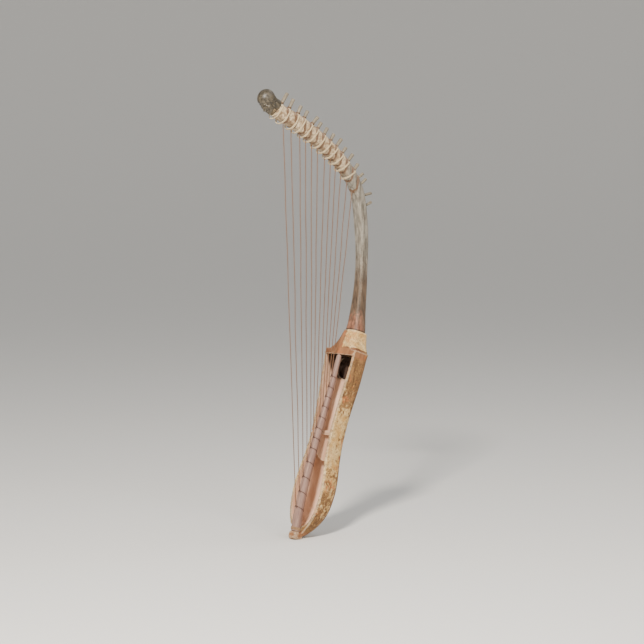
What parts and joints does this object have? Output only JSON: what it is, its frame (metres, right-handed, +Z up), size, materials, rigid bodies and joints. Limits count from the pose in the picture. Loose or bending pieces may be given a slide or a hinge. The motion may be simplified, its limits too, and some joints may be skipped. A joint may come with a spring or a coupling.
{
  "type": "arched harp",
  "caption": "Arched shoulder harp with a hollow waisted sound box, string rib, curved neck, tuning pegs and gut strings.",
  "frame": {"origin": "centre of the small flat under the sound box's toe", "axes": "+Z up along the harp's height, +X to the back of the sound box, away from the strings, Y across the harp"},
  "size_m": [0.2868, 0.076, 0.8154],
  "materials": {
    "box_wood": "old wood with worn yellow cream ground",
    "neck_wood": "old wood with worn grey and brown paint",
    "dark_wood": "dark polished wood",
    "rib_wood": "bare fine grained wood",
    "strut_wood": "bare pale wood",
    "peg_wood": "whittled grey wood",
    "gut_string": "twisted gut",
    "gut_cord": "gut cord, turned tightly",
    "pale_cord": "plied plant fibre cord",
    "dark_cord": "dark gut loops"
  },
  "bodies": {
    "harp": {"sound_box": "box_wood", "neck": "neck_wood", "head_finial": "dark_wood", "string_rib": "rib_wood", "rib_lashing": "pale_cord", "cross_strut": "strut_wood", "rib_string_loops": "dark_cord", "string_01": "gut_string", "string_02": "gut_string", "string_03": "gut_string", "string_04": "gut_string", "string_05": "gut_string", "string_06": "gut_string", "string_07": "gut_string", "string_08": "gut_string", "string_09": "gut_string", "string_10": "gut_string", "string_11": "gut_string", "string_12": "gut_string", "winding_01": "gut_cord", "winding_02": "gut_cord", "winding_03": "gut_cord", "winding_04": "gut_cord", "winding_05": "gut_cord", "winding_06": "gut_cord", "winding_07": "gut_cord", "winding_08": "gut_cord", "winding_09": "gut_cord", "winding_10": "gut_cord", "winding_11": "gut_cord", "winding_12": "gut_cord"},
    "peg_01": {"peg_01": "peg_wood"},
    "peg_02": {"peg_02": "peg_wood"},
    "peg_03": {"peg_03": "peg_wood"},
    "peg_04": {"peg_04": "peg_wood"},
    "peg_05": {"peg_05": "peg_wood"},
    "peg_06": {"peg_06": "peg_wood"},
    "peg_07": {"peg_07": "peg_wood"},
    "peg_08": {"peg_08": "peg_wood"},
    "peg_09": {"peg_09": "peg_wood"},
    "peg_10": {"peg_10": "peg_wood"},
    "peg_11": {"peg_11": "peg_wood"},
    "peg_12": {"peg_12": "peg_wood"},
    "peg_13": {"peg_13": "peg_wood"},
    "peg_14": {"peg_14": "peg_wood"},
    "peg_15": {"peg_15": "peg_wood"},
    "peg_16": {"peg_16": "peg_wood"}
  },
  "joints": [
    {"name": "peg_01_turn", "type": "hinge", "parent": "harp", "child": "peg_01", "pos_m": [-0.03813, 0, 0.78992], "axis": [0.6157, 0, 0.788], "range_deg": [-170, 170]},
    {"name": "peg_02_turn", "type": "hinge", "parent": "harp", "child": "peg_02", "pos_m": [-0.01903, 0, 0.78133], "axis": [0.5446, 0, 0.8387], "range_deg": [-170, 170]},
    {"name": "peg_03_turn", "type": "hinge", "parent": "harp", "child": "peg_03", "pos_m": [0.00279, 0, 0.77175], "axis": [0.5, 0, 0.866], "range_deg": [-170, 170]},
    {"name": "peg_04_turn", "type": "hinge", "parent": "harp", "child": "peg_04", "pos_m": [0.01878, 0, 0.7642], "axis": [0.5446, 0, 0.8387], "range_deg": [-170, 170]},
    {"name": "peg_05_turn", "type": "hinge", "parent": "harp", "child": "peg_05", "pos_m": [0.03809, 0, 0.7536], "axis": [0.7431, 0, 0.6691], "range_deg": [-170, 170]},
    {"name": "peg_06_turn", "type": "hinge", "parent": "harp", "child": "peg_06", "pos_m": [0.05204, 0, 0.74521], "axis": [0.6561, 0, 0.7547], "range_deg": [-170, 170]},
    {"name": "peg_07_turn", "type": "hinge", "parent": "harp", "child": "peg_07", "pos_m": [0.06932, 0, 0.73437], "axis": [0.5592, 0, 0.829], "range_deg": [-170, 170]},
    {"name": "peg_08_turn", "type": "hinge", "parent": "harp", "child": "peg_08", "pos_m": [0.08565, 0, 0.72354], "axis": [0.6293, 0, 0.7771], "range_deg": [-170, 170]},
    {"name": "peg_09_turn", "type": "hinge", "parent": "harp", "child": "peg_09", "pos_m": [0.10043, 0, 0.71276], "axis": [0.7071, 0, 0.7071], "range_deg": [-170, 170]},
    {"name": "peg_10_turn", "type": "hinge", "parent": "harp", "child": "peg_10", "pos_m": [0.11548, 0, 0.70057], "axis": [0.7314, 0, 0.682], "range_deg": [-170, 170]},
    {"name": "peg_11_turn", "type": "hinge", "parent": "harp", "child": "peg_11", "pos_m": [0.13149, 0, 0.6857], "axis": [0.6947, 0, 0.7193], "range_deg": [-170, 170]},
    {"name": "peg_12_turn", "type": "hinge", "parent": "harp", "child": "peg_12", "pos_m": [0.14682, 0, 0.66895], "axis": [0.7071, 0, 0.7071], "range_deg": [-170, 170]},
    {"name": "peg_13_turn", "type": "hinge", "parent": "harp", "child": "peg_13", "pos_m": [0.15739, 0, 0.65497], "axis": [0.848, 0, 0.5299], "range_deg": [-170, 170]},
    {"name": "peg_14_turn", "type": "hinge", "parent": "harp", "child": "peg_14", "pos_m": [0.16439, 0, 0.64272], "axis": [0.829, 0, 0.5592], "range_deg": [-170, 170]},
    {"name": "peg_15_turn", "type": "hinge", "parent": "harp", "child": "peg_15", "pos_m": [0.17141, 0, 0.62383], "axis": [0.9877, 0, 0.1564], "range_deg": [-170, 170]},
    {"name": "peg_16_turn", "type": "hinge", "parent": "harp", "child": "peg_16", "pos_m": [0.1755, 0, 0.60364], "axis": [0.9455, 0, 0.3256], "range_deg": [-170, 170]}
  ]
}
